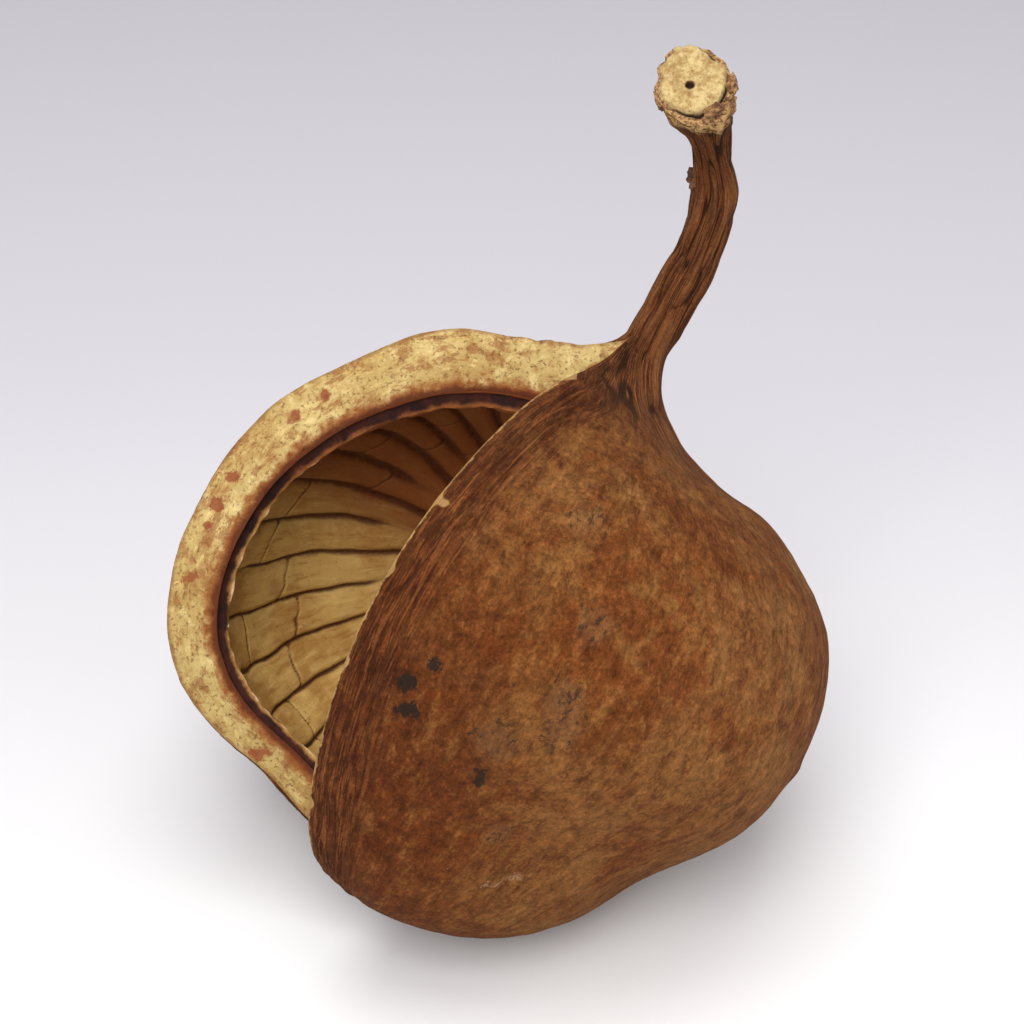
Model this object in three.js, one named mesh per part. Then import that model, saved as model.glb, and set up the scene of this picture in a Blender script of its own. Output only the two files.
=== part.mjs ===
// Buddha nut: the dry, opened seed pod of a tropical tree, lying on the round of its back.
//
// It grew as one woody shell with a stalk. The shell has split along its belly, and its two
// valves gape there, but they are still one piece along the back, at the stalk and at the tip.
//
// The pod is drawn in a frame of its own, in millimetres, and is then laid on the table:
//   +Z  from the tip towards the stalk
//   +X  out through the middle of the gape
//   +Y  towards the near valve, with the far valve on -Y
// A point of the wall has a polar angle from +Z and a place u round the shell. u is 0 along
// the back, 1 at the near valve's lip and -1 at the far valve's lip.

import * as THREE from 'three';

const degrees = THREE.MathUtils.degToRad;

// Radii of the outside at every 30 degrees, from the stalk (0) to the tip (180).
const BACK = [60, 58, 68, 65.5, 59.5, 59, 54];
const NEAR_SIDE = [60, 57, 67, 67, 59, 63, 54];
const FAR_SIDE = [60, 60, 66, 70, 68, 59.5, 54];
const NEAR_LIP = [60, 64, 67.5, 69, 64, 61, 54];
const FAR_LIP = [60, 63.5, 66, 69, 68.5, 57, 54];

// The split: how far round from +X each lip stands, and how thick the wall is there. The wall
// thins from its lips towards the back by this share.
const NEAR_GAPE = degrees(35);
const FAR_GAPE = degrees(39);
const LIP_WALL = [12, 12, 12, 11.5, 10, 8, 9];
const BACK_THINNING = 0.4;

// The stalk's middle line and radii, from the neck out to the broken end.
const STALK_LINE = [[2, -1.5, 70], [2.5, -1.5, 80], [3, -1.5, 90], [5.5, -1.5, 100], [12, -1, 108], [26, 2, 117]];
const STALK_RADII = [6, 5, 4.6, 5, 5, 7.5];

// The neck runs from the stalk's foot to the shell at SHOULDER. Its curve leaves the stalk
// over NECK_AT_BACK or NECK_AT_LIP, and meets the shell over NECK_AT_SHOULDER.
const SHOULDER = degrees(36);
const NECK_AT_BACK = 20;
const NECK_AT_LIP = 7;
const NECK_AT_SHOULDER = 8;

// How it lies: turned about its own axis, leant over, and turned about the upright. The spot
// it lies on is worn flat to this depth.
const ROLL = degrees(164.5);
const LEAN = degrees(41);
const HEADING = degrees(41.5);
const WORN = 1.6;

// Rows and columns of the mesh.
const ACROSS = 36;
const STALK_ROWS = 12;
const NECK_ROWS = 7;
const SHELL_ROWS = 22;

const xAxis = new THREE.Vector3(1, 0, 0);
const places = steps(ACROSS).map((t) => 2 * t - 1);

function steps(count) {
  return Array.from({ length: count + 1 }, (_, i) => i / count);
}

// A table of values as a smooth function of 0 to 1.
function profile(values) {
  const curve = new THREE.SplineCurve(values.map((value, i) => new THREE.Vector2(i, value)));
  return (t) => curve.getPoint(t).y;
}

const back = profile(BACK);
const nearSide = profile(NEAR_SIDE);
const farSide = profile(FAR_SIDE);
const nearLip = profile(NEAR_LIP);
const farLip = profile(FAR_LIP);
const lipWall = profile(LIP_WALL);
const stalkRadius = profile(STALK_RADII);
const stalkLine = new THREE.CatmullRomCurve3(STALK_LINE.map((p) => new THREE.Vector3(...p)), false, 'catmullrom');

// The outside's radius: an even curve in u through the back, a side and a lip.
function shellRadius(polar, u) {
  const t = polar / Math.PI;
  const gape = u > 0 ? NEAR_GAPE : FAR_GAPE;
  const side = u > 0 ? nearSide(t) : farSide(t);
  const lip = u > 0 ? nearLip(t) : farLip(t);
  const q = u * u;
  const s = (Math.PI / 2 / (Math.PI - gape)) ** 2;
  return back(t) * (q - s) * (q - 1) / s
    + side * q * (q - 1) / (s * (s - 1))
    + lip * q * (q - s) / (1 - s);
}

function wallThickness(polar, u) {
  return lipWall(polar / Math.PI) * (1 - BACK_THINNING * (1 - u * u) * Math.sin(polar) ** 2);
}

function place(radius, polar, u) {
  const round = u * (Math.PI - (u > 0 ? NEAR_GAPE : FAR_GAPE));
  return new THREE.Vector3(
    -radius * Math.sin(polar) * Math.cos(round),
    radius * Math.sin(polar) * Math.sin(round),
    radius * Math.cos(polar),
  );
}

const outside = (polar, u) => place(shellRadius(polar, u), polar, u);
const inside = (polar, u) => place(shellRadius(polar, u) - wallThickness(polar, u), polar, u);

// A ring of the stalk, at t from its foot (0) to its broken end (1).
function stalkRing(t) {
  const middle = stalkLine.getPoint(t);
  const along = stalkLine.getTangent(t);
  const x = xAxis.clone().addScaledVector(along, -along.x).normalize();
  const y = new THREE.Vector3().crossVectors(along, x);
  const radius = stalkRadius(t);
  return places.map((u) => middle.clone()
    .addScaledVector(x, -radius * Math.cos(u * Math.PI))
    .addScaledVector(y, radius * Math.sin(u * Math.PI)));
}

// The neck, from the stalk's foot down to the row above the shoulder: one curve to a column.
function neckRows() {
  const foot = stalkRing(0);
  const down = stalkLine.getTangent(0).negate();
  const curves = places.map((u, i) => {
    const shoulder = outside(SHOULDER, u);
    const slope = outside(SHOULDER + 0.001, u).sub(shoulder).normalize();
    const reach = NECK_AT_BACK + (NECK_AT_LIP - NECK_AT_BACK) * u * u;
    return new THREE.CubicBezierCurve3(
      foot[i],
      foot[i].clone().addScaledVector(down, reach),
      shoulder.clone().addScaledVector(slope, -NECK_AT_SHOULDER),
      shoulder,
    );
  });
  return steps(NECK_ROWS).slice(0, -1).map((t) => curves.map((curve) => curve.getPoint(t)));
}

// Collects sheets of points into one closed body. Points that fall together are one vertex.
const vertices = [];
const faces = [];
const known = new Map();

function vertex(p) {
  const key = [p.x, p.y, p.z].map((value) => Math.round(value * 1000)).join();
  if (!known.has(key)) {
    known.set(key, vertices.length);
    vertices.push(p.clone());
  }
  return known.get(key);
}

function triangle(a, b, c) {
  if (a !== b && b !== c && c !== a) faces.push(a, b, c);
}

// A sheet's outer side is where its rows run down and its columns run to the left.
function sheet(rows) {
  const ids = rows.map((row) => row.map(vertex));
  for (let i = 0; i + 1 < ids.length; i++) {
    for (let j = 0; j + 1 < ids[i].length; j++) {
      triangle(ids[i][j], ids[i + 1][j + 1], ids[i + 1][j]);
      triangle(ids[i][j], ids[i][j + 1], ids[i + 1][j + 1]);
    }
  }
}

const shellPolars = steps(SHELL_ROWS).map((t) => SHOULDER + t * (Math.PI - SHOULDER));
const innerPolars = [...steps(NECK_ROWS).slice(0, -1).map((t) => t * SHOULDER), ...shellPolars];

// From the stalk's foot to the tip, and the cavity's lining beside it, row for row.
const outer = [...neckRows(), ...shellPolars.map((polar) => places.map((u) => outside(polar, u)))];
const inner = innerPolars.map((polar) => places.map((u) => inside(polar, u)));

const stalk = steps(STALK_ROWS).reverse().map(stalkRing);
const end = stalk[0];
const endMiddle = stalkLine.getPoint(1);

sheet([end.map(() => endMiddle), end]);
sheet([...stalk.slice(0, -1), ...outer]);
sheet(inner.map((row) => [...row].reverse()));
sheet(outer.map((row, i) => [row[ACROSS], inner[i][ACROSS]]));
sheet(outer.map((row, i) => [inner[i][0], row[0]]));

// Lay the pod down, wear its lowest spot flat, and stand it over the origin.
const turn = new THREE.Matrix4().makeRotationZ(HEADING)
  .multiply(new THREE.Matrix4().makeRotationY(LEAN))
  .multiply(new THREE.Matrix4().makeRotationZ(ROLL));
vertices.forEach((p) => p.applyMatrix4(turn));
const box = new THREE.Box3().setFromPoints(vertices);
const middle = box.getCenter(new THREE.Vector3());
const table = box.min.z + WORN;
vertices.forEach((p) => p.set(p.x - middle.x, p.y - middle.y, Math.max(p.z - table, 0)));

const geometry = new THREE.BufferGeometry().setFromPoints(vertices);
geometry.setIndex(faces);
geometry.computeVertexNormals();

const shell = new THREE.MeshStandardMaterial({ color: '#85573a', roughness: 0.85, metalness: 0 });
const pod = new THREE.Mesh(geometry, shell);
pod.name = 'pod';

const part = new THREE.Group();
part.add(pod);

export default part;
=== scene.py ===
from math import cos, pi, radians, sin

import bpy
import numpy as np
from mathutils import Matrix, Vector


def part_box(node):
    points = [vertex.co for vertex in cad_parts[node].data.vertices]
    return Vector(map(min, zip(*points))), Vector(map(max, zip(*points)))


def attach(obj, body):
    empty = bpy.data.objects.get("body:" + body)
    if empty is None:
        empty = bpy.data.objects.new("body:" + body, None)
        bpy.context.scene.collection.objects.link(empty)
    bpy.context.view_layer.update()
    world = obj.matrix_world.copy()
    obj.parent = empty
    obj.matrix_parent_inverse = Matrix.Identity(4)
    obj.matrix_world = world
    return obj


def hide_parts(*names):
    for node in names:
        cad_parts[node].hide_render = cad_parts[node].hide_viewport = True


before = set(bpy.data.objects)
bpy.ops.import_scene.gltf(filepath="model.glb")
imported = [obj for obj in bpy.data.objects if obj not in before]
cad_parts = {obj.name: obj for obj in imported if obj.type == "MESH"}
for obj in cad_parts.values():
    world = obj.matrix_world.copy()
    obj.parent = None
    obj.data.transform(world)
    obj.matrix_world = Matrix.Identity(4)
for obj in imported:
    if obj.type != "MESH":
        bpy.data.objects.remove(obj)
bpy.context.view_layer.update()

# ---------------------------------------------------------------------------------------------
# The table and the light. A white paper sheet in a light tent: a soft lamp overhead, a stronger
# one in front and a weak one on the right, with white cloth all round. The camera stands in
# front and looks down.

# Metres. Painted shade greys the paper over this stretch, from in front of the pod to behind it.
SHEET_HALF = 9.0
SHEET_SHADE_SPAN = (-0.30, 0.28)
SHEET_FRONT = (250, 250, 248)
SHEET_BACK_SHADE = (203, 200, 208)
WARM_WHITE = (1.0, 0.99, 0.97)
PLAIN_WHITE = (1.0, 0.99, 0.98)
TENT_STRENGTH = 0.49
CAMERA_RISE = radians(30)
CAMERA_AWAY = 0.4875
CAMERA_ASIDE = 0.0035
CAMERA_ABOVE = 0.0045


def paint(red, green, blue):
    """A colour given in everyday 0 to 255 steps, as the linear colour that a shader takes."""
    steps = np.array([red, green, blue]) / 255
    linear = np.where(steps <= 0.04045, steps / 12.92, ((steps + 0.055) / 1.055) ** 2.4)
    return (*linear.tolist(), 1.0)


class Value:
    """A number that varies over a surface. Sums and products of it add their own Math nodes."""

    def __init__(self, look, socket):
        self.look = look
        self.socket = socket

    def __add__(self, other):
        return self.look.math("ADD", self, other)

    def __radd__(self, other):
        return self.look.math("ADD", other, self)

    def __sub__(self, other):
        return self.look.math("SUBTRACT", self, other)

    def __rsub__(self, other):
        return self.look.math("SUBTRACT", other, self)

    def __mul__(self, other):
        return self.look.math("MULTIPLY", self, other)

    def __rmul__(self, other):
        return self.look.math("MULTIPLY", other, self)


class Look:
    """A material on the way: its nodes are added one by one and joined to the surface last."""

    def __init__(self, name):
        self.material = bpy.data.materials.new(name)
        self.material.use_nodes = True
        self.tree = self.material.node_tree
        self.surface = self.tree.nodes["Principled BSDF"]

    def node(self, kind, settings, sockets, result=0):
        """Adds a node: its settings first, then a value or a link for each named socket."""
        made = self.tree.nodes.new(kind)
        for name, setting in settings.items():
            setattr(made, name, setting)
        for name, given in sockets.items():
            self.join(given, made.inputs[name])
        return Value(self, made.outputs[result])

    def join(self, given, socket):
        if isinstance(given, Value):
            self.tree.links.new(given.socket, socket)
        else:
            socket.default_value = given

    def math(self, operation, *values):
        return self.node("ShaderNodeMath", {"operation": operation}, dict(enumerate(values)))

    def rise(self, value, low, high):
        """0 below low, 1 above high, and a smooth slope between. Low may be above high."""
        sockets = {"Value": value, "From Min": low, "From Max": high}
        return self.node("ShaderNodeMapRange", {"interpolation_type": "SMOOTHSTEP"}, sockets)

    def mix(self, share, first, second, blend="MIX"):
        """The first colour, with this share of the second over it."""
        settings = {"data_type": "RGBA", "blend_type": blend, "clamp_factor": True}
        return self.node("ShaderNodeMix", settings, {0: share, 6: first, 7: second}, 2)

    def tinted(self, colour, tint):
        """The colour times another one."""
        return self.mix(1.0, colour, tint, "MULTIPLY")

    def here(self):
        """Where a point is on the finished object, in metres."""
        return self.node("ShaderNodeTexCoord", {}, {}, "Object")

    def told(self, name, result="Fac"):
        """A value stored with the mesh."""
        return self.node("ShaderNodeAttribute", {"attribute_name": name}, {}, result)

    def stretched(self, where, x, y, z):
        """Places with each direction multiplied, so that a pattern on them is drawn out."""
        return self.node("ShaderNodeVectorMath", {"operation": "MULTIPLY"}, {0: where, 1: (x, y, z)})

    def cloud(self, where, scale, detail, roughness, bend=0.0):
        """Soft random cloud from 0 to 1, about 1 / scale across."""
        sockets = {"Vector": where, "Scale": scale, "Detail": detail, "Roughness": roughness}
        return self.node("ShaderNodeTexNoise", {}, {**sockets, "Distortion": bend}, "Fac")

    def shaded(self, colour, share):
        """The colour made this many times as bright."""
        return self.node("ShaderNodeVectorMath", {"operation": "SCALE"}, {0: colour, "Scale": share})

    def raised(self, height, distance, strength):
        """The surface's direction, tilted as if this height stood on it at this scale in metres."""
        sockets = {"Height": height, "Distance": distance, "Strength": strength}
        return self.node("ShaderNodeBump", {}, sockets, "Normal")

    def finished(self, colour, roughness, normal, gloss):
        """The material, with its colour, roughness, raised grain and gloss on the surface."""
        self.join(colour, self.surface.inputs["Base Color"])
        self.join(roughness, self.surface.inputs["Roughness"])
        self.join(normal, self.surface.inputs["Normal"])
        self.join(gloss, self.surface.inputs["Specular IOR Level"])
        return self.material


def sheet_look():
    """White paper, with painted shade that greys and cools it away from the front."""
    look = Look("studio_paper")
    away = look.node("ShaderNodeSeparateXYZ", {}, {"Vector": look.here()}, "Y")
    colour = look.mix(look.rise(away, *SHEET_SHADE_SPAN), paint(*SHEET_FRONT), paint(*SHEET_BACK_SHADE))
    look.join(colour, look.surface.inputs["Base Color"])
    look.surface.inputs["Roughness"].default_value = 0.9
    return look.material


def soft_light(name, place, width, power, tint):
    """A square lamp of this width at this place, pointing at the pod."""
    lamp = bpy.data.lights.new(name, "AREA")
    lamp.size = width
    lamp.energy = power
    lamp.color = tint
    light = bpy.data.objects.new(name, lamp)
    light.location = place
    light.rotation_euler = (middle - Vector(place)).to_track_quat("-Z", "Y").to_euler()
    bpy.context.scene.collection.objects.link(light)


low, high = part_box("pod")
middle = (low + high) / 2

sheet_mesh = bpy.data.meshes.new("paper_sheet")
corners = [(x * SHEET_HALF, y * SHEET_HALF, low.z) for x, y in ((-1, -1), (1, -1), (1, 1), (-1, 1))]
sheet_mesh.from_pydata(corners, [], [(0, 1, 2, 3)])
sheet_mesh.materials.append(sheet_look())
sheet = bpy.data.objects.new("paper_sheet", sheet_mesh)
bpy.context.scene.collection.objects.link(sheet)

soft_light("overhead_light", place=(-0.05, -0.16, 1.15), width=0.8, power=6.8, tint=WARM_WHITE)
soft_light("right_light", place=(0.95, -0.45, 0.65), width=0.7, power=2.6, tint=PLAIN_WHITE)
soft_light("front_light", place=(-0.16, -0.86, 0.86), width=0.6, power=10.8, tint=PLAIN_WHITE)

tent = bpy.data.worlds.new("light_tent")
tent.use_nodes = True
cloth = tent.node_tree.nodes["Background"]
cloth.inputs["Color"].default_value = (1.0, 1.0, 1.0, 1)
cloth.inputs["Strength"].default_value = TENT_STRENGTH
bpy.context.scene.world = tent
bpy.context.scene.view_settings.view_transform = "Standard"

view = bpy.data.cameras.new("camera")
view.lens = 85
view.sensor_width = 36
view.dof.use_dof = False
camera = bpy.data.objects.new("camera", view)
aim = middle + Vector((CAMERA_ASIDE, 0, CAMERA_ABOVE))
camera.location = aim + CAMERA_AWAY * Vector((0, -cos(CAMERA_RISE), sin(CAMERA_RISE)))
camera.rotation_euler = (pi / 2 - CAMERA_RISE, 0, 0)
bpy.context.scene.collection.objects.link(camera)
bpy.context.scene.camera = camera

# ---------------------------------------------------------------------------------------------
# The skin: the brown velvety outside of the pod and the bark of its stalk. It grew in one with
# the wood under it. It is made in two halves, one to a valve, that meet along the back.

# From here on sizes are in millimetres in the pod's own frame: +Z from the tip to the stalk, +X
# out of the split, +Y to the near valve. u runs round the shell from the back (0) to the near
# lip (1) or the far lip (-1). The tables give the outside's radius at every 30 degrees from +Z.
MM = 0.001
BACK = [60, 58, 68, 65.5, 59.5, 59, 54]
NEAR_SIDE = [60, 57, 67, 67, 59, 63, 54]
FAR_SIDE = [60, 60, 66, 70, 68, 59.5, 54]
NEAR_LIP = [60, 64, 67.5, 69, 64, 61, 54]
FAR_LIP = [60, 63.5, 66, 69, 68.5, 57, 54]
NEAR_GAPE = radians(35)
FAR_GAPE = radians(39)
STALK_LINE = [
    [2, -1.5, 70], [2.5, -1.5, 80], [3, -1.5, 90],
    [5.5, -1.5, 100], [12, -1, 108], [26, 2, 117],
]
STALK_RADII = [6, 5, 4.6, 5, 5, 7.5]
SHOULDER = radians(36)
NECK_AT_BACK = 20
NECK_AT_LIP = 7
NECK_AT_SHOULDER = 8
ROLL = radians(164.5)
LEAN = radians(41)
HEADING = radians(41.5)

# Rows of the mesh down the stalk, the neck and the shell, and columns to a valve.
STALK_ROWS = 80
NECK_ROWS = 44
SHELL_ROWS = 250
SKIN_HALF = 250

lattice = np.random.default_rng(41).uniform(-1, 1, (32, 32, 32))


def grain(points, size, shift=0):
    """Smooth random values from -1 to 1: a lattice of random numbers this far apart, blended
    between its eight nearest points by a smooth step."""
    cell = np.asarray(points, float) / size + shift * 7.31
    corner = np.floor(cell).astype(int)
    part = cell - corner
    part = part * part * (3 - 2 * part)
    total = 0
    for step in np.ndindex(2, 2, 2):
        share = np.prod(np.where(step, part, 1 - part), axis=-1)
        index = (corner + step) % 32
        total = total + share * lattice[index[..., 0], index[..., 1], index[..., 2]]
    return total


def ramp(value, start, end):
    """0 at start, 1 at end, held beyond them, and smooth between."""
    share = np.clip((value - start) / (end - start), 0, 1)
    return share * share * (3 - 2 * share)


def bell(value, middle, spread):
    """1 at the middle, falling off on both sides with the square of the distance over the spread."""
    return np.exp(-((value - middle) / spread) ** 2)


def curve(values, t, held=True):
    """A smooth curve through evenly spaced values, at t from 0 to 1: each stretch is the cubic
    whose slope at a value is half the step between that value's two neighbours. Beyond its
    ends the list repeats its last value, or runs on straight where it isn't held."""
    values = np.array(values, float)
    before = values[0] if held else 2 * values[0] - values[1]
    after = values[-1] if held else 2 * values[-1] - values[-2]
    padded = np.concatenate([[before], values, [after]])
    reach = np.clip(t, 0, 1) * (len(values) - 1)
    first = np.minimum(reach.astype(int), len(values) - 2)
    f = reach - first
    if values.ndim > 1:
        f = f[..., None]
    a, b, c, d = (padded[first + k] for k in range(4))
    cubed = 1.5 * (b - c) + (d - a) / 2
    squared = a - 2.5 * b + 2 * c - 0.5 * d
    return b + f * ((c - a) / 2 + f * (squared + f * cubed))


def length(vectors):
    return np.linalg.norm(vectors, axis=-1, keepdims=True)


def shell_radius(polar, u):
    """The outside's distance from the pod's middle: an even curve in u through the tables of
    the back, the side and the lip, each read at the polar angle."""
    t = polar / pi
    q = u * u
    s = (pi / 2 / np.where(u > 0, pi - NEAR_GAPE, pi - FAR_GAPE)) ** 2
    side = np.where(u > 0, curve(NEAR_SIDE, t), curve(FAR_SIDE, t))
    lip = np.where(u > 0, curve(NEAR_LIP, t), curve(FAR_LIP, t))
    from_back = curve(BACK, t) * (q - s) * (q - 1) / s
    from_side = side * q * (q - 1) / (s * (s - 1))
    from_lip = lip * q * (q - s) / (1 - s)
    return from_back + from_side + from_lip


def round_angle(u):
    """How far round from the back a place u is, up to where the split leaves the shell."""
    return u * np.where(u > 0, pi - NEAR_GAPE, pi - FAR_GAPE)


def placed(radius, polar, u):
    """A point at this distance, polar angle and place round the shell."""
    turn = round_angle(u)
    off_axis = radius * np.sin(polar)
    return np.stack([-off_axis * np.cos(turn), off_axis * np.sin(turn), radius * np.cos(polar)], -1)


def outside(polar, u):
    """The outside of the shell, before its lumps and wrinkles."""
    return placed(shell_radius(polar, u), polar, u)


SMALL_STEP = 0.001


def stalk_frame(t):
    """The stalk's middle line at t, with its direction and two directions square to it."""
    at = curve(STALK_LINE, t, held=False)
    after = curve(STALK_LINE, np.minimum(t + SMALL_STEP, 1), held=False)
    before = curve(STALK_LINE, np.maximum(t - SMALL_STEP, 0), held=False)
    along = (after - before) / length(after - before)
    x = np.array([1.0, 0, 0]) - along * along[..., :1]
    x = x / length(x)
    return at, along, x, np.cross(along, x)


def stalk_surface(t, u):
    """A ring of the stalk's radius round its middle line, a whole turn as u goes from -1 to 1."""
    at, along, x, y = stalk_frame(t)
    radius = curve(STALK_RADII, t)[..., None]
    turn = (u * pi)[..., None]
    return at + radius * (np.sin(turn) * y - np.cos(turn) * x)


def neck_surface(t, u):
    """For each u, one cubic curve from the stalk's foot, down along the stalk at first, to the
    shell at the shoulder, and arriving along the shell's own slope."""
    foot = stalk_surface(t * 0, u)
    down = -stalk_frame(t * 0)[1]
    shoulder = outside(t * 0 + SHOULDER, u)
    slope = outside(t * 0 + SHOULDER + SMALL_STEP, u) - shoulder
    slope = slope / length(slope)
    reach = (NECK_AT_BACK + (NECK_AT_LIP - NECK_AT_BACK) * u * u)[..., None]
    f = t[..., None]
    second = foot + reach * down
    third = shoulder - NECK_AT_SHOULDER * slope
    upper = (1 - f) ** 3 * foot + 3 * f * (1 - f) ** 2 * second
    return upper + 3 * f * f * (1 - f) * third + f ** 3 * shoulder


def places_round(count):
    """Places from the far lip (-1) over the back (0) to the near lip (1), this many to a valve:
    the sine of even steps, so that they lie four times closer together near a lip."""
    bend = radians(75)
    half = np.sin(np.linspace(0, bend, count + 1)) / sin(bend)
    return np.concatenate([-half[:0:-1], half])


def facing(grid):
    """The direction square to a grid's surface: its step along a row crossed with its step down
    a column. A row drawn together to a pole takes the mean of the row beside it."""
    normal = np.cross(np.gradient(grid, axis=1), np.gradient(grid, axis=0))
    for row, beside in ((0, 1), (-1, -2)):
        if np.ptp(grid[row], axis=0).max() < 0.01:
            normal[row] = normal[beside].mean(axis=0)
    return normal / np.maximum(length(normal), 1e-9)


def steps_along(grid, axis):
    """The distance run along a grid's rows or columns, from its first point."""
    stride = np.linalg.norm(np.diff(grid, axis=axis), axis=-1)
    return np.concatenate([np.zeros_like(stride.take([0], axis)), np.cumsum(stride, axis)], axis)


def about_z(angle):
    return np.array([[cos(angle), -sin(angle), 0], [sin(angle), cos(angle), 0], [0, 0, 1]])


def about_y(angle):
    return np.array([[cos(angle), 0, sin(angle)], [0, 1, 0], [-sin(angle), 0, cos(angle)]])


lie = about_z(HEADING) @ about_y(LEAN) @ about_z(ROLL)


def laid(points):
    """Points of the pod's frame on the table, in metres: turned as it lies, then moved so that
    the bare form stands where the frame's pod does. Nothing goes below the table."""
    on_table = points @ lie.T * MM + resting
    on_table[..., 2] = np.maximum(on_table[..., 2], low.z)
    return on_table


skin_u = places_round(SKIN_HALF)
stalk_t, stalk_u = np.meshgrid(np.linspace(1, 0, STALK_ROWS + 1)[:-1], skin_u, indexing="ij")
neck_t, neck_u = np.meshgrid(np.linspace(0, 1, NECK_ROWS + 1)[:-1], skin_u, indexing="ij")
shell_polar, shell_u = np.meshgrid(np.linspace(SHOULDER, pi, SHELL_ROWS + 1), skin_u, indexing="ij")

skin_parts = [stalk_surface(stalk_t, stalk_u), neck_surface(neck_t, neck_u), outside(shell_polar, shell_u)]
skin_form = np.concatenate(skin_parts)
skin_polar = np.concatenate([stalk_t * 0, neck_t * SHOULDER, shell_polar])
skin_degrees = np.degrees(skin_polar)
skin_round = np.concatenate([stalk_u, neck_u, shell_u])

# Where the bare form has to be moved: its middle over the node's, and its top at the node's.
bare = skin_form.reshape(-1, 3) @ lie.T * MM
bare_middle = (bare.max(axis=0) + bare.min(axis=0)) / 2
resting = np.array([middle.x - bare_middle[0], middle.y - bare_middle[1], high.z - bare[:, 2].max()])

FLOW_RADIUS = 21
MARGIN_FADES = (13, 6)

# rim is how far a point is from the split, and up how far it is from the tip. Up the neck the
# two lips close, and the margin's wrinkles run out in the stalk's. stalky is 1 on the stalk and
# 0 on the shell, and flow holds round and up, so that a pattern on it runs along the pod.
run = steps_along(skin_form, 1)
closing = np.concatenate([stalk_t * 0 + 1, (1 - neck_t) ** 2, shell_polar * 0])
rim = np.where(skin_round > 0, run[:, -1:] - run, run) + 30 * closing
up = steps_along(skin_form[::-1], 0)[::-1]
side = np.sign(skin_round) * ramp(np.abs(skin_round), 0.0, 0.3)
stalky = 1 - ramp(skin_degrees, 8, 46)
off_tip = ramp(skin_degrees, 180, 171)
flow = np.stack([FLOW_RADIUS * np.cos(skin_round * pi), FLOW_RADIUS * np.sin(skin_round * pi), up], -1)


def spots(form, places):
    """Round soft spots on a form: each is highest, 1, at its polar angle and place u, and falls
    off with the square of the distance over its radius."""
    total = 0
    for polar, u, radius in places:
        middle_of_spot = outside(np.array(radians(polar)), np.array(float(u)))
        total = total + np.exp(-((form - middle_of_spot) ** 2).sum(-1) / radius ** 2)
    return total


# The stalk is broken off on a slant: its last stretch slides along itself to end in a plane,
# which is square to this direction.
BREAK_SQUARE = np.array([0.71, 0.67, 0.22])
BREAK_FADE = (0.70, 1.0)
end_middle, end_along, end_x, end_y = stalk_frame(np.array(1.0))
broken = np.concatenate([ramp(stalk_t, *BREAK_FADE), neck_t * 0, shell_polar * 0])
from_end = skin_form - end_middle
slide = -(from_end - (from_end @ end_along)[..., None] * end_along) @ BREAK_SQUARE
skin_form = skin_form + (broken * slide / (end_along @ BREAK_SQUARE))[..., None] * end_along

# The surface in relief: soft lumps and a nap all over, wrinkles along the split's margin, and
# ridges and furrows down the stalk.
margin = ramp(rim, *MARGIN_FADES) * off_tip
lumps = 0.55 * grain(skin_form, 24, 1) + 0.28 * grain(skin_form, 9, 2) + 0.10 * grain(skin_form, 3.4, 3)
nap = 0.06 * grain(skin_form, 1.7, 4)
wrinkle_place = np.stack([rim / 1.15 + 0.6 * grain(skin_form, 9, 5), up / 12, side * 5], -1)
wrinkles = 0.50 * (0.5 - np.abs(grain(wrinkle_place, 1, 6)) * 2) + 0.22 * grain(wrinkle_place * 2.1, 1, 7)
wrinkles = wrinkles * ramp(rim, 0, 2.5)
ridge_turn = skin_round * pi + up * 0.004
ridge_place = np.stack([np.cos(ridge_turn) * 2.2, np.sin(ridge_turn) * 2.2, up / 17], -1)
ridges = 0.30 * grain(ridge_place, 1, 8) + 0.2 * grain(ridge_place * 5, 1, 10)
ridges = ridges + 0.8 * (np.abs(grain(ridge_place * 1.6, 1, 9)) * 2 - 0.4)
relief = lumps * (1 - 0.6 * stalky) + nap + margin * wrinkles + 0.7 * stalky * (ridges - 0.35)
relief = relief + ramp(broken, 0.6, 1) * 0.7 * grain(skin_form, 2.4, 21)

# Small nubs and dents: polar angle, place round, radius and height.
NUBS = [
    (73, 0.99, 1.3, 0.7), (41, 0.65, 1.5, 0.9), (58, 0.60, 2.2, -0.7),
    (129, 0.64, 2.0, -0.6), (84, 0.30, 2.5, 0.6), (70, -0.45, 2.2, 0.8),
]
for polar, u, radius, height in NUBS:
    relief = relief + height * spots(skin_form, [(polar, u, radius)])

# Where the shell grew fuller or flatter than an even one: the far rim by the neck and the near
# valve's shoulder stand out, and the neck, the far valve by the tip and the near valve's under
# side are drawn in.
tall = skin_form[..., 2]
relief = relief + 1.5 * bell(skin_degrees, 40, 12) * ramp(-skin_round, 0.6, 0.95)
relief = relief + 1.4 * bell(skin_degrees, 38, 9) * ramp(np.abs(skin_round - 0.32), 0.35, 0.05)
relief = relief - 0.9 * bell(tall, 73, 10)
relief = relief - 1.2 * bell(tall, 64, 11) * ramp(np.abs(skin_round - 0.12), 0.5, 0.1)
relief = relief - 1.0 * bell(skin_degrees, 150, 15) * ramp(-skin_round, 0.6, 1)
relief = relief - 2.2 * bell(skin_degrees, 114, 17) * ramp(np.abs(skin_round - 0.43), 0.42, 0.05)

# How much the stalk swells or shrinks from its foot to the break, and its waist on one side
# just under the break.
STALK_SWELL = [0.2, 0.7, 0.6, 0.0, -0.3, -1.1, 0.2]
WAIST_DEPTH = 1.6
swell = np.concatenate([curve(STALK_SWELL, stalk_t), neck_t * 0 + STALK_SWELL[0], shell_polar * 0])
waist = bell(stalk_t, 0.90, 0.06) * (0.5 + 0.5 * np.cos(pi * (stalk_u + 0.9)))
relief = relief + swell * ramp(stalky, 0.9, 1)
relief = relief - WAIST_DEPTH * np.concatenate([waist, neck_t * 0, shell_polar * 0])


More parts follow.
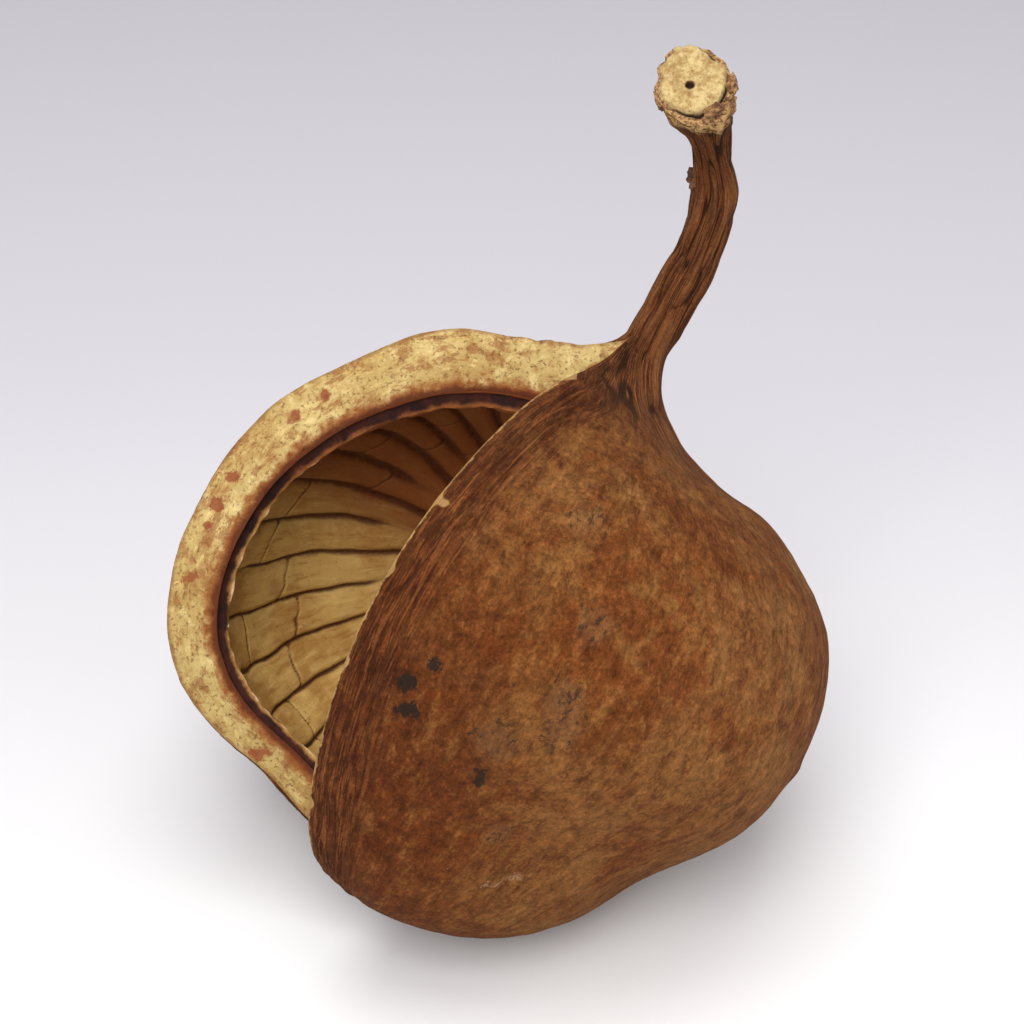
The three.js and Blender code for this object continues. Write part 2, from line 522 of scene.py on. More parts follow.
def facing_skin(form):
    """The skin's directions. The stalk is closed, so its two edges take the mean of theirs."""
    directions = facing(form)
    joined = directions[:STALK_ROWS, 0] + directions[:STALK_ROWS, -1]
    directions[:STALK_ROWS, 0] = directions[:STALK_ROWS, -1] = joined / length(joined)
    return directions


skin_form = skin_form + relief[..., None] * facing_skin(skin_form)
skin_form[-1] = skin_form[-1].mean(axis=0)


def made_piece(name, grid, directions, look, outward, stored):
    """A mesh from a grid of points: four-sided faces between rows and columns, and triangles
    where a row is drawn together to one point. outward says which way round its faces go."""
    rows, columns = grid.shape[:2]
    ids = np.arange(rows * columns).reshape(rows, columns)
    poles = [row for row in (0, rows - 1) if np.ptp(grid[row], axis=0).max() < 0.001]
    for row in poles:
        ids[row] = ids[row, 0]
    faces = np.stack([ids[:-1, :-1], ids[:-1, 1:], ids[1:, 1:], ids[1:, :-1]], -1)
    if not outward:
        faces = faces[..., ::-1]
        directions = -directions
    faces = faces.reshape(-1, 4)
    pointed = faces == np.roll(faces, -1, axis=1)
    whole = faces[~pointed.any(axis=1)]
    drawn = faces[pointed.any(axis=1)]
    drawn = drawn[~pointed[pointed.any(axis=1)]].reshape(-1, 3)
    used = np.unique(np.concatenate([whole.ravel(), drawn.ravel()]))
    place = np.zeros(rows * columns, int)
    place[used] = np.arange(len(used))
    mesh = bpy.data.meshes.new(name)
    points = laid(grid).reshape(-1, 3)[used]
    mesh.from_pydata(points.tolist(), [], place[whole].tolist() + place[drawn].tolist())
    for kind, values in stored.items():
        values = np.asarray(values, np.float32)
        vector = values.ndim > 2
        attribute = mesh.attributes.new(kind, "FLOAT_VECTOR" if vector else "FLOAT", "POINT")
        picked = values.reshape(rows * columns, -1)[used]
        attribute.data.foreach_set("vector" if vector else "value", picked.ravel())
    mesh.materials.append(look)
    mesh.polygons.foreach_set("use_smooth", [True] * len(mesh.polygons))
    mesh.normals_split_custom_set_from_vertices((directions @ lie.T).reshape(-1, 3)[used].tolist())
    mesh.update()
    piece = bpy.data.objects.new(name, mesh)
    bpy.context.scene.collection.objects.link(piece)
    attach(piece, "root")
    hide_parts("pod")


def made_halves(names, grid, directions, look, outward, stored):
    """Two pieces from one grid, a far and a near one, that share its middle column."""
    back = grid.shape[1] // 2
    for name, part in zip(names, (slice(None, back + 1), slice(back, None))):
        half = {kind: values[:, part] for kind, values in stored.items()}
        made_piece(name, grid[:, part], directions[:, part], look, outward, half)


def skin_look():
    """Warm mottled brown with a nap of short fibres along the pod, darker and streaked by the split, with
    painted shade darkening it further by the split, towards the tip and in the creases of the margin,
    red-brown bark on the stalk with painted highlight on its crests and painted shade in its furrows, and
    a pale worn line on the very edge."""
    look = Look("velvet_skin")
    here = look.here()
    flow = look.told("flow", "Vector")
    rim = look.told("rim")
    stalky = look.told("stalky")
    relief = look.told("relief")

    broad = look.cloud(here, 38, 3, 0.6, 0.5)
    patch = look.cloud(here, 120, 4, 0.65, 0.8)
    mottle = look.cloud(here, 380, 6, 0.75, 0.5)
    fine = look.cloud(here, 1400, 4, 0.75)
    fibres = look.cloud(look.stretched(flow, 1.7, 1.7, 0.30), 1.0, 6, 0.78, 0.9)
    threads = look.cloud(look.stretched(flow, 6, 6, 0.8), 1.0, 4, 0.7, 0.5)
    dapple = look.cloud(look.stretched(flow, 0.85, 0.85, 0.17), 1.0, 6, 0.75, 0.25)
    streaks = look.cloud(look.stretched(flow, 0.42, 0.42, 0.05), 1.0, 6, 0.8, 0.2)

    colour = look.mix(look.rise(broad, 0.38, 0.62), paint(108, 60, 27), paint(124, 82, 44))
    colour = look.mix(look.rise(patch, 0.50, 0.68) * 0.5, colour, paint(134, 94, 50))
    colour = look.mix(look.rise(patch, 0.50, 0.35) * 0.5, colour, paint(92, 47, 20))
    red = look.told("red")
    colour = look.mix(look.rise(red + 1.8 * (patch - 0.5), 0.30, 0.95) * 0.65, colour, paint(92, 44, 19))
    colour = look.mix(look.rise(dapple, 0.50, 0.66) * 0.55, colour, paint(140, 96, 50))
    colour = look.mix(look.rise(dapple, 0.49, 0.34) * 0.65, colour, paint(78, 38, 17))
    bright = 0.56 + 0.58 * look.rise(mottle, 0.34, 0.66) + 0.40 * look.rise(fibres, 0.36, 0.66)
    colour = look.shaded(colour, bright)
    tips = look.rise(fibres + 0.5 * (mottle - 0.5), 0.58, 0.78)
    colour = look.mix(tips * 0.45, colour, paint(154, 106, 56))
    colour = look.mix(look.rise(threads, 0.58, 0.74) * 0.25, colour, paint(166, 120, 68))
    # A multiplying tint, darker and warmer, by the split and towards the tip: partly the skin's own darker
    # tone there, partly painted shade of the pod's lower side.
    colour = look.mix(look.told("deep"), colour, look.tinted(colour, paint(226, 218, 204)))

    lines_at = look.node("ShaderNodeCombineXYZ", {}, {"X": rim * 0.85, "Y": look.told("up") * 0.05})
    lines = look.cloud(lines_at, 1.0, 4, 0.7, 0.4)
    crease = look.rise(look.math("ABSOLUTE", lines - 0.5), 0.055, 0.012)
    edging = look.rise(rim + 8 * (patch - 0.5), 14, 6)
    bands = look.rise(dapple + 0.5 * (streaks - 0.5), 0.38, 0.62)
    banded = look.mix(bands, paint(76, 35, 17), paint(112, 60, 29))
    banded = look.mix(look.rise(lines, 0.54, 0.66) * 0.6, banded, paint(138, 86, 46))
    # Painted shade, nearly black, in the creases of the margin's wrinkles.
    banded = look.mix(crease * 0.7, banded, paint(44, 20, 10))
    colour = look.mix(edging * 0.75, colour, banded)

    lanes = look.cloud(look.stretched(flow, 2.6, 2.6, 0.12), 1.0, 4, 0.7, 0.2)
    bark = look.mix(look.rise(streaks, 0.40, 0.60), paint(62, 29, 14), paint(112, 61, 31))
    bark = look.mix(look.rise(lanes, 0.50, 0.64) * 0.7, bark, paint(156, 104, 62))
    bark = look.mix(look.rise(lanes, 0.48, 0.36) * 0.7, bark, paint(38, 16, 8))
    # Tan on the ridge crests, partly the bark's own tone and partly painted highlight, and painted shade,
    # nearly black, in the furrows.
    crests = look.rise(relief + 0.5 * (mottle - 0.5), 0.25, 0.80)
    bark = look.mix(crests * 0.35, bark, paint(146, 96, 56))
    bark = look.mix(look.rise(relief, -0.08, -0.36) * 0.8, bark, paint(26, 11, 6))
    colour = look.mix(look.rise(stalky, 0.15, 0.95), colour, bark)

    colour = look.shaded(colour, 0.74 + 0.52 * look.rise(fine, 0.30, 0.70))
    colour = look.mix(look.rise(fine, 0.66, 0.78) * 0.5, colour, paint(196, 156, 108))
    worn = look.rise(rim - 2.6 * look.told("chip") + 2.0 * (mottle - 0.5), 0.42, 0.10)
    colour = look.mix(worn * 0.85, colour, paint(176, 138, 86))

    fleck = look.told("fleck")
    haze = look.rise(fleck + 1.2 * (dapple - 0.5), 0.35, 0.95)
    colour = look.mix(haze * 0.20, colour, paint(108, 84, 62))
    inky = look.cloud(look.stretched(flow, 1.3, 1.3, 0.34), 1.0, 5, 0.8, 0.35)
    black = look.rise(inky, 0.55, 0.60) * look.rise(fleck + (patch - 0.5), 0.20, 0.6)
    colour = look.mix(black * 0.75, colour, paint(44, 34, 25))
    blot = look.told("blot")
    ragged = look.rise(blot + 3.5 * (inky - 0.5) + 3.0 * (mottle - 0.5), 0.50, 0.80)
    colour = look.mix(ragged * look.rise(blot, 0.08, 0.3) * 0.9, colour, paint(34, 27, 22))
    scar = look.rise(look.told("scar") + 2.4 * (fine - 0.5) + 1.6 * (mottle - 0.5), 0.55, 0.85)
    colour = look.mix(scar * 0.5, colour, paint(160, 130, 96))
    layers = look.cloud(look.stretched(flow, 0.35, 0.35, 1.5), 1.0, 5, 0.75, 0.8)
    torn = look.rise(look.told("torn") + 1.6 * (mottle - 0.5) + 0.8 * (layers - 0.5), 0.50, 0.85)
    splinters = look.mix(look.rise(layers, 0.42, 0.56), paint(92, 52, 27), paint(206, 168, 112))
    colour = look.mix(torn, colour, splinters)

    look.surface.inputs["Sheen Weight"].default_value = 0.02
    look.surface.inputs["Sheen Roughness"].default_value = 0.45
    look.surface.inputs["Sheen Tint"].default_value = paint(214, 170, 120)
    roughness = 0.88 + 0.1 * mottle - 0.12 * look.rise(stalky, 0.3, 0.9)
    grooves = (0.8 * lines - 0.5 * crease) * edging + 0.9 * lanes * stalky
    height = 0.6 * mottle + 0.3 * fine + 0.45 * fibres + 0.2 * threads + grooves
    return look.finished(colour, roughness, look.raised(height, 0.0014, 0.75), gloss=0.09)


# Marks on the skin: polar angle, place round and radius of each black blot, grey flecked patch,
# pale scar and chip in the edge.
BLOTS = [
    (100.4, 0.936, 1.5), (99.8, 0.928, 1.7), (99.2, 0.920, 1.4), (104.8, 0.922, 1.5),
    (104.2, 0.914, 1.7), (103.6, 0.906, 1.4), (95.3, 0.908, 1.4), (110.2, 0.796, 1.2),
    (109, 0.80, 1.6), (107.6, 0.804, 1.1),
]
FLECKS = [
    (90, 0.77, 5), (95, 0.75, 4), (78, 0.78, 5), (64, 0.84, 5), (102, 0.81, 6),
    (119, 0.72, 4), (110, 0.30, 7), (80, -0.5, 6), (120, -0.3, 6),
]
SCARS = [
    (127.2, 0.632, 1.9), (128.6, 0.642, 1.5), (130.4, 0.655, 1.3), (131.8, 0.672, 1.6),
    (100, -0.6, 2.0),
]
CHIPS = [
    (73, 0.985, 1.5), (35, 1, 1.2), (86, 1, 0.8), (102, 1, 0.8), (132, 1, 0.9),
    (88, -1, 1.6), (60, -1, 1.2),
]
# Where the skin takes its darker tint, by the split and more towards the tip: partly its darker tone,
# partly painted shade.
tone_and_shade_by_split = ramp(rim, 80, 25) * (0.45 + 0.55 * ramp(skin_degrees, 62, 95))
tone_and_shade_by_tip = 0.75 * ramp(skin_degrees, 76, 98)
skin_stored = {
    "flow": flow,
    "rim": rim,
    "up": up,
    "stalky": stalky,
    "relief": ridges,
    "red": ramp(rim, 52, 12) * ramp(skin_degrees, 66, 92),
    "deep": 0.1 + 0.9 * np.maximum(tone_and_shade_by_split, tone_and_shade_by_tip),
    "blot": spots(skin_form, BLOTS),
    "fleck": spots(skin_form, FLECKS),
    "scar": spots(skin_form, SCARS),
    "chip": spots(skin_form, CHIPS),
    "torn": broken ** 11 * (0.55 + 0.45 * np.cos(pi * (skin_round - 0.45))),
}
skin_names = ("far_skin", "near_skin")
made_halves(skin_names, skin_form, facing_skin(skin_form), skin_look(), True, skin_stored)

# ---------------------------------------------------------------------------------------------
# The lining: the satin ochre inside of the hollow. Ribs fan out over each valve to the rim, and the skin
# between them has dried into pillows with a crack across here and there. Along the rim it sinks in a
# groove, dark purple-brown with painted shade on it, and rises in a thin scalloped ridge with a painted
# highlight.

LIP_WALL = [12, 12, 12, 11.5, 10, 8, 9]
BACK_THINNING = 0.4
LINING_HALF = 300

# The fan's middle, and the angle from rib to rib. ARM is the distance at which that angle gives
# the ribs' spacing. The ribs' skin is thickest this far from a rib line.
FAN_POLAR = radians(76)
FAN_ROUND = radians(57)
RIB_STEP = radians(11)
ARM = 55
PILLOW_HALF = 4.2

# How far in from the rim the dark groove ends and the scalloped ridge stands.
GROOVE = 3.0
RIDGE = 3.6


def inside(polar, u):
    """The lining: the outside drawn in by the wall, which is the lip's thickness at u = 1 and
    thins by a share towards the back."""
    wall = curve(LIP_WALL, polar / pi) * (1 - BACK_THINNING * (1 - u * u) * np.sin(polar) ** 2)
    return placed(shell_radius(polar, u) - wall, polar, u)


lining_u = places_round(LINING_HALF)
neck_polars = np.linspace(0, SHOULDER, NECK_ROWS + 1)[:-1]
inner_rows = np.concatenate([neck_polars, np.linspace(SHOULDER, pi, SHELL_ROWS + 1)])
inner_polar, inner_u = np.meshgrid(inner_rows, lining_u, indexing="ij")
inner_degrees = np.degrees(inner_polar)
lining_form = inside(inner_polar, inner_u)
inner_run = steps_along(lining_form, 1)
inner_rim = np.where(inner_u > 0, inner_run[:, -1:] - inner_run, inner_run)
inner_up = steps_along(lining_form[::-1], 0)[::-1]
ends = np.sin(inner_polar)

# The fan of ribs: the angle of a point round the fan's middle, and its distance from it.
heading = placed(1, inner_polar, inner_u)
half_sign = np.where(inner_u > 0, 1.0, -1.0)
fan_x = np.full_like(inner_u, -sin(FAN_POLAR) * cos(FAN_ROUND))
fan_y = sin(FAN_POLAR) * sin(FAN_ROUND) * half_sign
fan_z = np.full_like(inner_u, cos(FAN_POLAR))
fan_middle = np.stack([fan_x, fan_y, fan_z], -1)
fan_up = np.array([0, 0, 1.0]) - fan_middle * fan_middle[..., 2:]
fan_up = fan_up / length(fan_up)
fan_side = np.cross(fan_up, fan_middle)
fan_turn = np.arctan2((heading * fan_side).sum(-1), (heading * fan_up).sum(-1))
fan_off = np.arccos(np.clip((heading * fan_middle).sum(-1), -1, 1))
fan_turn = fan_turn + 0.030 * grain(lining_form, 19, 11) + 0.008 * grain(lining_form, 5, 22)
rib_count = fan_turn / RIB_STEP
rib = np.round(rib_count)
rib_gap = np.abs(rib_count - rib) * RIB_STEP * np.sin(fan_off) * ARM
short_rib = np.mod(rib, 2) * ramp(fan_off, radians(40), radians(26))
off_ends = ramp(ends, 0.05, 0.3)
past_ridge = ramp(inner_rim, RIDGE, RIDGE + 3) * off_ends
rib_depth = ramp(fan_off, radians(9), radians(28)) * (1 - short_rib) * past_ridge
high_up = ramp(inner_degrees, 104, 58)
rib_line = bell(rib_gap, 0, 0.5 + 0.9 * high_up) * rib_depth

# Between two ribs the skin is a pillow, and each panel overlaps the next one like a shingle.
panel = np.floor(rib_count).astype(int)
shingle = (rib_count - panel - 0.5) * rib_depth
pillow = (1 - (1 - np.clip(rib_gap / PILLOW_HALF, 0, 1)) ** 2) * past_ridge

# Cracks across the panels, most of them in a ring about 2 cm in from the rim and fewer in a
# ring further in. Dice say which panels have one, and how far in it is.
panel_dice = np.random.default_rng(12).uniform(0, 1, (2, 64))
dice = panel_dice[0][panel % 64]
crack_at = 21 + 4 * dice
crack = bell(inner_rim + 0.5 * grain(lining_form, 2.5, 12), crack_at, 0.28) * (dice > 0.25)
second_at = 33 + 9 * panel_dice[1][panel % 64]
second = bell(inner_rim + 0.8 * grain(lining_form, 3, 13), second_at, 0.3) * (dice < 0.6)
crack = (crack + 0.8 * second) * off_ends

# Along the rim, except where the two rims meet at the neck and the tip: the wall's inner edge is
# bevelled, then comes the groove, and then the ridge, which dips in scallops.
SCALLOP_LENGTH = 5.2
open_ends = ramp(ends, 0.06, 0.22)
bevel = ramp(inner_rim, 0, RIDGE) * ramp(inner_rim, RIDGE + 8, RIDGE) * open_ends
groove = bell(inner_rim, 1.9, 0.8) * open_ends
scallop = 0.6 + 0.25 * np.cos(inner_up * 2 * pi / SCALLOP_LENGTH + 5 * grain(lining_form, 11, 14))
scallop = scallop + 0.5 * grain(lining_form, 3.1, 23)
ridge_at = RIDGE + 0.7 * grain(lining_form, 9, 24)
ridge = bell(inner_rim, ridge_at, 0.34) * np.clip(scallop, 0, 1.2) * open_ends
lining_relief = 2.3 * bevel - 0.9 * groove + 0.5 * ridge
lining_relief = lining_relief - 0.9 * rib_line + 0.6 * pillow - 0.4 * crack + 0.55 * shingle
uneven = 0.35 * grain(lining_form, 14, 15) + 0.14 * grain(lining_form, 4.5, 16)
lining_relief = (lining_relief + uneven * open_ends) * ramp(inner_rim, -0.01, 0.4)
lining_relief = lining_relief + 1.3 * bell(inner_degrees, 150, 15) * ramp(-inner_u, 0.6, 1)
lining_form = lining_form - lining_relief[..., None] * facing(lining_form)
for row in (0, -1):
    lining_form[row] = lining_form[row].mean(axis=0)


def lining_look():
    """Satin yellow ochre, redder up towards the neck and darker there with painted shade, with dark rib
    lines and cracks that carry painted shade, a purple-brown groove by the rim darkened further by painted
    shade, and a pale ridge beside it with a painted highlight."""
    look = Look("satin_lining")
    here = look.here()
    rim = look.told("rim")
    line = look.told("line")
    high_up = look.told("high_up")
    broad = look.cloud(here, 55, 3, 0.55)
    mottle = look.cloud(here, 230, 5, 0.65, 0.3)
    fine = look.cloud(here, 1100, 3, 0.6)
    drawn = look.cloud(look.told("fan", "Vector"), 1.0, 5, 0.7, 0.4)
    colour = look.mix(look.rise(broad, 0.35, 0.65), paint(170, 127, 66), paint(197, 160, 92))
    colour = look.mix(look.rise(drawn, 0.50, 0.66) * 0.6, colour, paint(212, 178, 110))
    colour = look.mix(look.rise(drawn, 0.48, 0.34) * 0.6, colour, paint(150, 96, 42))
    colour = look.mix(look.rise(mottle, 0.5, 0.75) * 0.4, colour, paint(222, 186, 118))
    colour = look.mix(look.rise(mottle, 0.45, 0.28) * 0.5, colour, paint(150, 98, 48))
    # Up towards the neck: partly the lining's own redder brown, partly painted shade under the far lip.
    redder_and_shaded = look.rise(high_up + 0.7 * (broad - 0.5), 0.10, 0.70)
    colour = look.mix(redder_and_shaded * 0.92, colour, paint(116, 57, 24))
    by_rim = look.rise(rim + 2.5 * (mottle - 0.5), 9, 4)
    colour = look.mix(by_rim * 0.45, colour, paint(160, 96, 44))
    # Rib lines and cracks: dark lines partly of their own, partly painted shade in the grooves, widest up
    # towards the neck.
    lined_and_shaded = look.rise(line + 0.9 * (mottle - 0.5), 0.15, 0.8)
    colour = look.mix(lined_and_shaded * 0.9, colour, paint(72, 33, 14))
    colour = look.mix(look.rise(fine, 0.36, 0.26) * 0.6, colour, paint(96, 54, 24))
    # The groove by the rim: partly its own dark purple-brown, partly painted shade in the recess.
    ragged_rim = rim + 1.8 * (mottle - 0.5) + 1.6 * (broad - 0.5)
    groove_dark_and_shade = look.rise(ragged_rim, GROOVE + 0.6, GROOVE - 0.3)
    purple = look.mix(look.rise(mottle, 0.3, 0.7), paint(30, 11, 8), paint(68, 28, 17))
    colour = look.mix(groove_dark_and_shade, colour, purple)
    edge = look.rise(rim + 0.8 * (mottle - 0.5), 1.2, 0.5)
    colour = look.mix(edge, colour, paint(150, 80, 36))
    # The ridge: its own pale tone with painted highlight glints on it.
    pale_and_highlight = look.rise(look.told("pale_and_highlight") + (fine - 0.5), 0.40, 0.9)
    colour = look.mix(pale_and_highlight * 0.85, colour, paint(224, 194, 160))
    roughness = 0.45 + 0.3 * mottle + 0.25 * groove_dark_and_shade
    height = 0.7 * mottle + 0.2 * fine + 0.6 * drawn
    return look.finished(colour, roughness, look.raised(height, 0.0009, 0.5), gloss=0.25)


lining_stored = {
    "rim": inner_rim,
    "line": np.clip(rib_line + crack, 0, 1),
    # The ridge's pale colour and painted highlight, faded up towards the neck as painted shade.
    "pale_and_highlight": ridge * (1 - 0.9 * ramp(inner_degrees, 84, 60)),
    "high_up": high_up,
    "fan": np.stack([rib_count * 5, fan_off * 6, half_sign * 9], -1),
}
lining_names = ("far_lining", "near_lining")
made_halves(lining_names, lining_form, facing(lining_form), lining_look(), False, lining_stored)

# ---------------------------------------------------------------------------------------------
# The lips: the pale faces where the woody wall has split open, a little rounded at both edges.
# Each runs from the skin's edge to the lining's edge, from the neck to the tip.

LIP_COLUMNS = 48
LIP_SWELL = 0.45

# Rusty stains: polar angle, lip and radius, and how far in from the skin they are.
STAINS = [
    (108, -1, 2.6), (88, -1, 2.0), (94, -1, 2.3), (98, -1, 1.4), (145, -1, 2.8),
    (72, -1, 2.4), (65, -1, 2.2), (120, 1, 3.0), (80, 1, 2.2),
]
STAIN_DEPTH = 4.0


def lip_grid(outer_edge, inner_edge):
    """A strip from one edge to the other, how much it swells between them, and each point's
    distance from either edge. The swelling is one minus the sixth power of the distance from
    the middle line, less where the strip is narrow, and dies out at the tip."""
    across = np.linspace(0, 1, LIP_COLUMNS + 1)[None, :, None]
    strip = outer_edge[:, None] * (1 - across) + inner_edge[:, None] * across
    swell = 1 - (2 * across[..., 0] - 1) ** 6
    wide = length(outer_edge - inner_edge)
    off_tip = ramp(np.linspace(0, 1, len(outer_edge)), 1, 0.97)[:, None]
    swell = swell * np.minimum(1, wide / 4) * off_tip
    uneven = 0.30 * grain(strip, 7, 17) + 0.16 * grain(strip, 2.4, 18)
    return strip, swell * (LIP_SWELL + uneven), across[..., 0] * wide, wide * (1 - across[..., 0])


def lip_look():
    """Cream wood, finely pitted and specked with brown, with a thin dark line of skin on its
    outer edge and a red-brown border on its inner edge."""
    look = Look("split_wood")
    here = look.here()
    inward = look.told("inward")
    outward = look.told("outward")
    stain = look.told("stain")
    broad = look.cloud(here, 60, 3, 0.6)
    mottle = look.cloud(here, 300, 5, 0.7)
    pits = look.cloud(here, 1300, 3, 0.6)
    along = look.node("ShaderNodeCombineXYZ", {}, {"X": outward * 0.5, "Y": look.told("up") * 0.16})
    streaky = look.cloud(along, 1.0, 6, 0.78, 0.3)
    colour = look.mix(look.rise(broad, 0.35, 0.65), paint(166, 138, 82), paint(188, 165, 108))
    rusty = look.cloud(here, 130, 5, 0.7, 0.3)
    stripes = look.rise(streaky + 0.7 * (rusty - 0.5), 0.48, 0.60)
    colour = look.mix(stripes * 0.75, colour, paint(138, 90, 50))
    colour = look.mix(look.rise(streaky, 0.47, 0.32) * 0.5, colour, paint(222, 194, 132))
    colour = look.mix(look.rise(mottle, 0.49, 0.32) * 0.75, colour, paint(138, 92, 48))
    colour = look.mix(look.rise(mottle, 0.53, 0.70) * 0.7, colour, paint(212, 190, 134))
    colour = look.mix(look.rise(pits, 0.46, 0.30) * 0.65, colour, paint(106, 64, 34))
    specks = look.cloud(here, 600, 5, 0.8)
    specked = look.rise(specks + 0.5 * (rusty - 0.5), 0.60, 0.72)
    colour = look.mix(specked * 0.6, colour, paint(116, 70, 36))
    low_down = look.rise(look.told("up"), 95, 45)
    colour = look.mix(low_down * 0.8, colour, look.tinted(colour, paint(224, 220, 210)))
    border = look.rise(inward + 5.5 * (mottle - 0.5), 3.5, 1.3)
    colour = look.mix(border * 0.85, colour, paint(122, 60, 19))
    brink = look.rise(inward + 3.0 * (mottle - 0.5), 1.7, 0.5)
    colour = look.mix(brink * 0.85, colour, paint(76, 31, 14))
    skin_line = look.rise(outward + 1.6 * (mottle - 0.5), 1.1, 0.3)
    colour = look.mix(skin_line * 0.5, colour, paint(112, 72, 38))
    ragged = look.rise(stain + 2.0 * (mottle - 0.5) + 1.2 * (rusty - 0.5), 0.50, 0.75)
    colour = look.mix(ragged * look.rise(stain, 0.1, 0.3) * 0.85, colour, paint(124, 58, 32))
    height = 0.6 * mottle + 0.5 * look.rise(pits, 0.25, 0.45)
    return look.finished(colour, 0.72 + 0.2 * mottle, look.raised(height, 0.0007, 0.5), gloss=0.18)


# The near lip is flatter than the far one, by this share of the swelling.
NEAR_SWELL = 0.4
cream = lip_look()
for name, edge, outward in (("far_lip", 0, False), ("near_lip", -1, True)):
    skin_edge = skin_form[STALK_ROWS:, edge]
    strip, swell, from_skin, from_lining = lip_grid(skin_edge, lining_form[:, edge])
    square = facing(strip) * (NEAR_SWELL if outward else -1)
    inward = strip[:, -1:] - strip[:, :1]
    inward = inward / np.maximum(length(inward), 1e-6)
    lip_form = strip + swell[..., None] * square
    stained = spots(strip - STAIN_DEPTH * inward, STAINS)
    strip_up = np.repeat(up[STALK_ROWS:, edge][:, None], LIP_COLUMNS + 1, 1)
    stored = {"outward": from_skin, "inward": from_lining, "stain": stained, "up": strip_up}
    made_piece(name, lip_form, facing(lip_form), cream, outward, stored)

# ---------------------------------------------------------------------------------------------
# The broken end of the stalk: pale rough wood with a pith hole in its middle. The wood stands a
# little proud of the bark, with a crevice between them on the side that tore last.

# The hole's radius, and how far it is off the stalk's middle line.
END_ROWS = 40
PITH = 0.5
PITH_ASIDE = -1.2

# Where round the stalk the wood reaches furthest out over the bark.
WOOD_TOWARDS = -0.56

ring = skin_form[0]
inward = np.linspace(0, 1, END_ROWS + 1)[:, None, None]
end_form = ring[None] * (1 - inward) + end_middle * inward
pith_middle = end_middle - PITH_ASIDE * end_x
across = np.linalg.norm(end_form - pith_middle, axis=-1)
reach = np.cos(pi * (skin_u - WOOD_TOWARDS))[None] * (1 - inward[..., 0])
spread = inward[..., 0] + 0.16 * grain(end_form, 3.5, 25) + 0.13 * reach
wood = ramp(spread, 0.08, 0.26)
crevice = bell(spread, 0.15, 0.05) * ramp(grain(end_form, 5, 26) - 1.2 * reach, -0.4, 0.3)
pith = ramp(across + 0.45 * grain(end_form, 0.9, 27), PITH + 0.5, PITH - 0.3)
edge_free = ramp(inward[..., 0], 0, 0.06)
end_height = 1.1 * wood - 1.8 * pith - 1.3 * crevice
end_height = end_height + 0.45 * grain(end_form, 2.6, 19) + 0.25 * grain(end_form, 0.9, 20)
end_form = end_form + (end_height * edge_free)[..., None] * BREAK_SQUARE
end_form[-1] = end_form[-1].mean(axis=0)


def end_look():
    """Pale cream wood, with painted shade in its crevices and in the pith hole."""
    look = Look("broken_wood")
    here = look.here()
    wood = look.told("wood")
    pith = look.told("pith")
    mottle = look.cloud(here, 420, 5, 0.75)
    fine = look.cloud(here, 1500, 4, 0.7)
    colour = look.mix(look.rise(mottle, 0.40, 0.62), paint(166, 135, 82), paint(206, 182, 126))
    darker = look.rise(mottle + 0.6 * (fine - 0.5), 0.44, 0.34)
    colour = look.mix(darker * 0.6, colour, paint(150, 108, 62))
    colour = look.mix(look.rise(fine, 0.42, 0.30) * 0.7, colour, paint(128, 84, 48))
    bark = look.mix(look.rise(fine, 0.4, 0.6), paint(100, 62, 34), paint(188, 148, 96))
    colour = look.mix(look.rise(wood + 0.5 * (mottle - 0.5), 0.75, 0.25), colour, bark)
    # Painted shade: dark in the crevice between the wood and the bark, and in the pith hole.
    colour = look.mix(look.rise(look.told("crevice"), 0.3, 0.8), colour, paint(52, 28, 15))
    hole = look.rise(pith + 0.7 * (mottle - 0.5), 0.25, 0.7)
    colour = look.mix(hole, colour, paint(64, 32, 17))
    normal = look.raised(mottle + 0.4 * fine, 0.0014, 0.8)
    return look.finished(colour, 0.85, normal, gloss=0.5)


end_stored = {"wood": wood, "crevice": crevice, "pith": ramp(across, PITH + 1.1, PITH - 0.1)}
made_piece("stalk_end", end_form, facing(end_form), end_look(), False, end_stored)

# ---------------------------------------------------------------------------------------------
# Flakes of bark: brittle curled pieces that still hang on the stalk, most of them round the
# break. Each is a thin closed shell, rough all over.

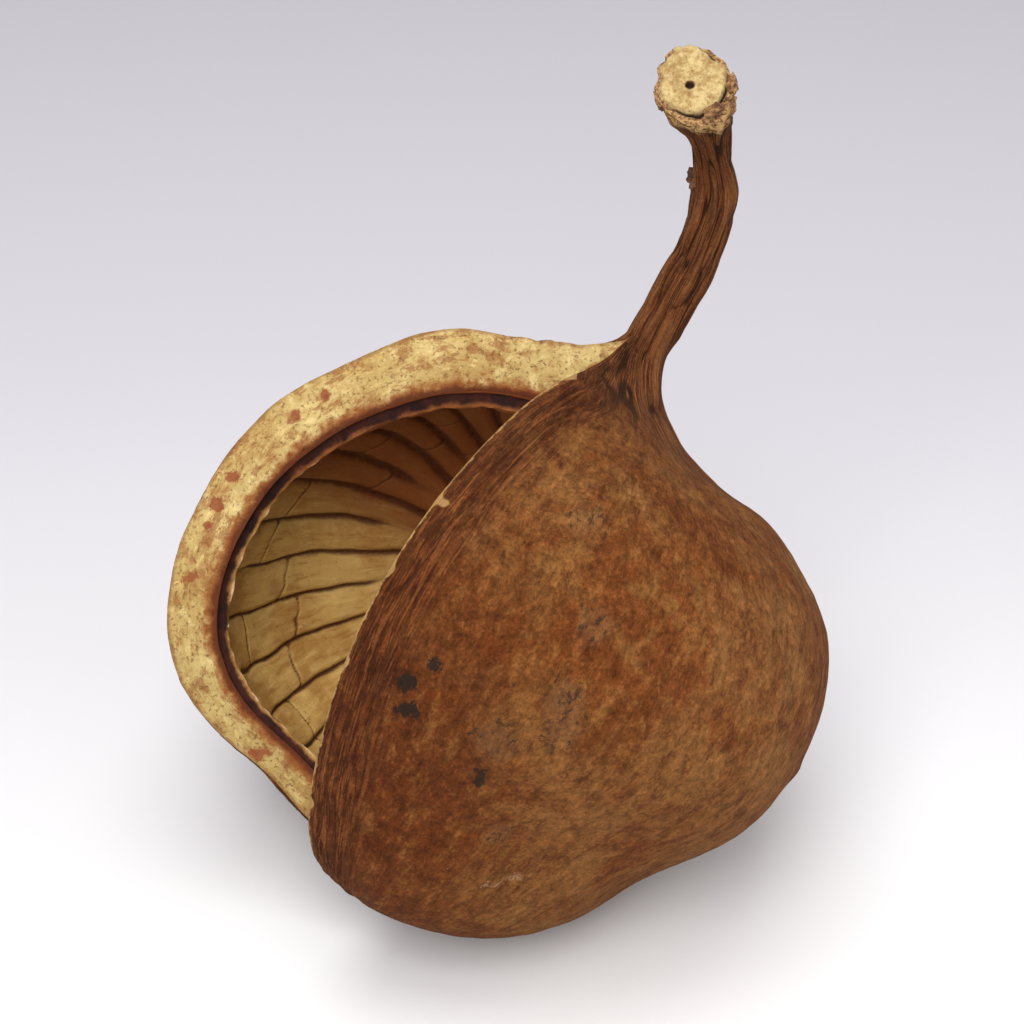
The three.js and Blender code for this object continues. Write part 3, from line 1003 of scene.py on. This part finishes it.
# Place along the stalk, place round it, how far it stands off, and its width, height and
# thickness in millimetres.
FLAKES = [
    (0.98, -0.90, -0.1, 2.4, 2.2, 1.2),
    (0.95, -0.78, -0.8, 1.8, 1.8, 0.9),
    (0.98, 0.10, -0.3, 2.4, 1.9, 1.2),
    (0.95, 0.26, -0.3, 2.2, 2.2, 1.1),
    (0.97, 0.48, 0.0, 2.2, 1.5, 1.0),
    (0.73, -0.86, -1.1, 1.9, 2.1, 1.9),
    (0.69, -0.90, -0.8, 1.4, 2.0, 1.2),
]
FLAKE_COLUMNS = 49
FLAKE_ROWS = 29

# Flakes below this place along the stalk are as dark as its bark.
OLD_BELOW = 0.9


def flake_form(t, u, off, width, height, thickness, shift):
    """A flattened ball: its width runs round the stalk, its height along it, and its thickness
    out from it. It is curled out at its upper edge and roughened by noise."""
    around, over = np.meshgrid(np.linspace(0, 2 * pi, FLAKE_COLUMNS), np.linspace(0, pi, FLAKE_ROWS))
    wide = np.sin(over) * np.cos(around)
    deep = np.sin(over) * np.sin(around)
    tall = np.cos(over)
    middle_line, along, x, y = stalk_frame(np.array(t))
    surface = stalk_surface(np.array(t), np.array(u))
    out = (surface - middle_line) / length(surface - middle_line)
    across_stalk = np.cross(along, out)
    rough = 1 + 0.28 * grain(np.stack([wide, deep, tall], -1) * 3, 1, shift)
    curl = 0.35 * height * np.maximum(tall, 0) ** 2
    sideways = (width * wide * rough)[..., None] * across_stalk
    upwards = (height * tall * rough)[..., None] * along
    outwards = (thickness * deep * rough + curl + off)[..., None] * out
    return surface + sideways + upwards + outwards


def flake_look():
    """Dark red-brown bark, tan where it is torn. Lower down the stalk it is as dark as the rest."""
    look = Look("bark_flake")
    here = look.here()
    mottle = look.cloud(here, 500, 5, 0.75)
    fine = look.cloud(here, 1600, 4, 0.7)
    colour = look.mix(look.rise(mottle, 0.40, 0.60), paint(92, 54, 30), paint(176, 134, 84))
    colour = look.mix(look.rise(fine, 0.45, 0.32) * 0.7, colour, paint(48, 25, 13))
    aged = look.mix(look.rise(mottle, 0.40, 0.60), paint(44, 20, 10), paint(92, 50, 27))
    colour = look.mix(look.told("old") * 0.8, colour, aged)
    normal = look.raised(mottle + 0.5 * fine, 0.001, 0.8)
    return look.finished(colour, 0.9, normal, gloss=0.5)


bark_flake = flake_look()
for number, flake in enumerate(FLAKES, 1):
    form = flake_form(*flake, 30 + number)
    form[:, -1] = form[:, 0]
    old = np.full(form.shape[:2], float(flake[0] < OLD_BELOW))
    made_piece(f"bark_flake_{number}", form, facing(form), bark_flake, True, {"old": old})
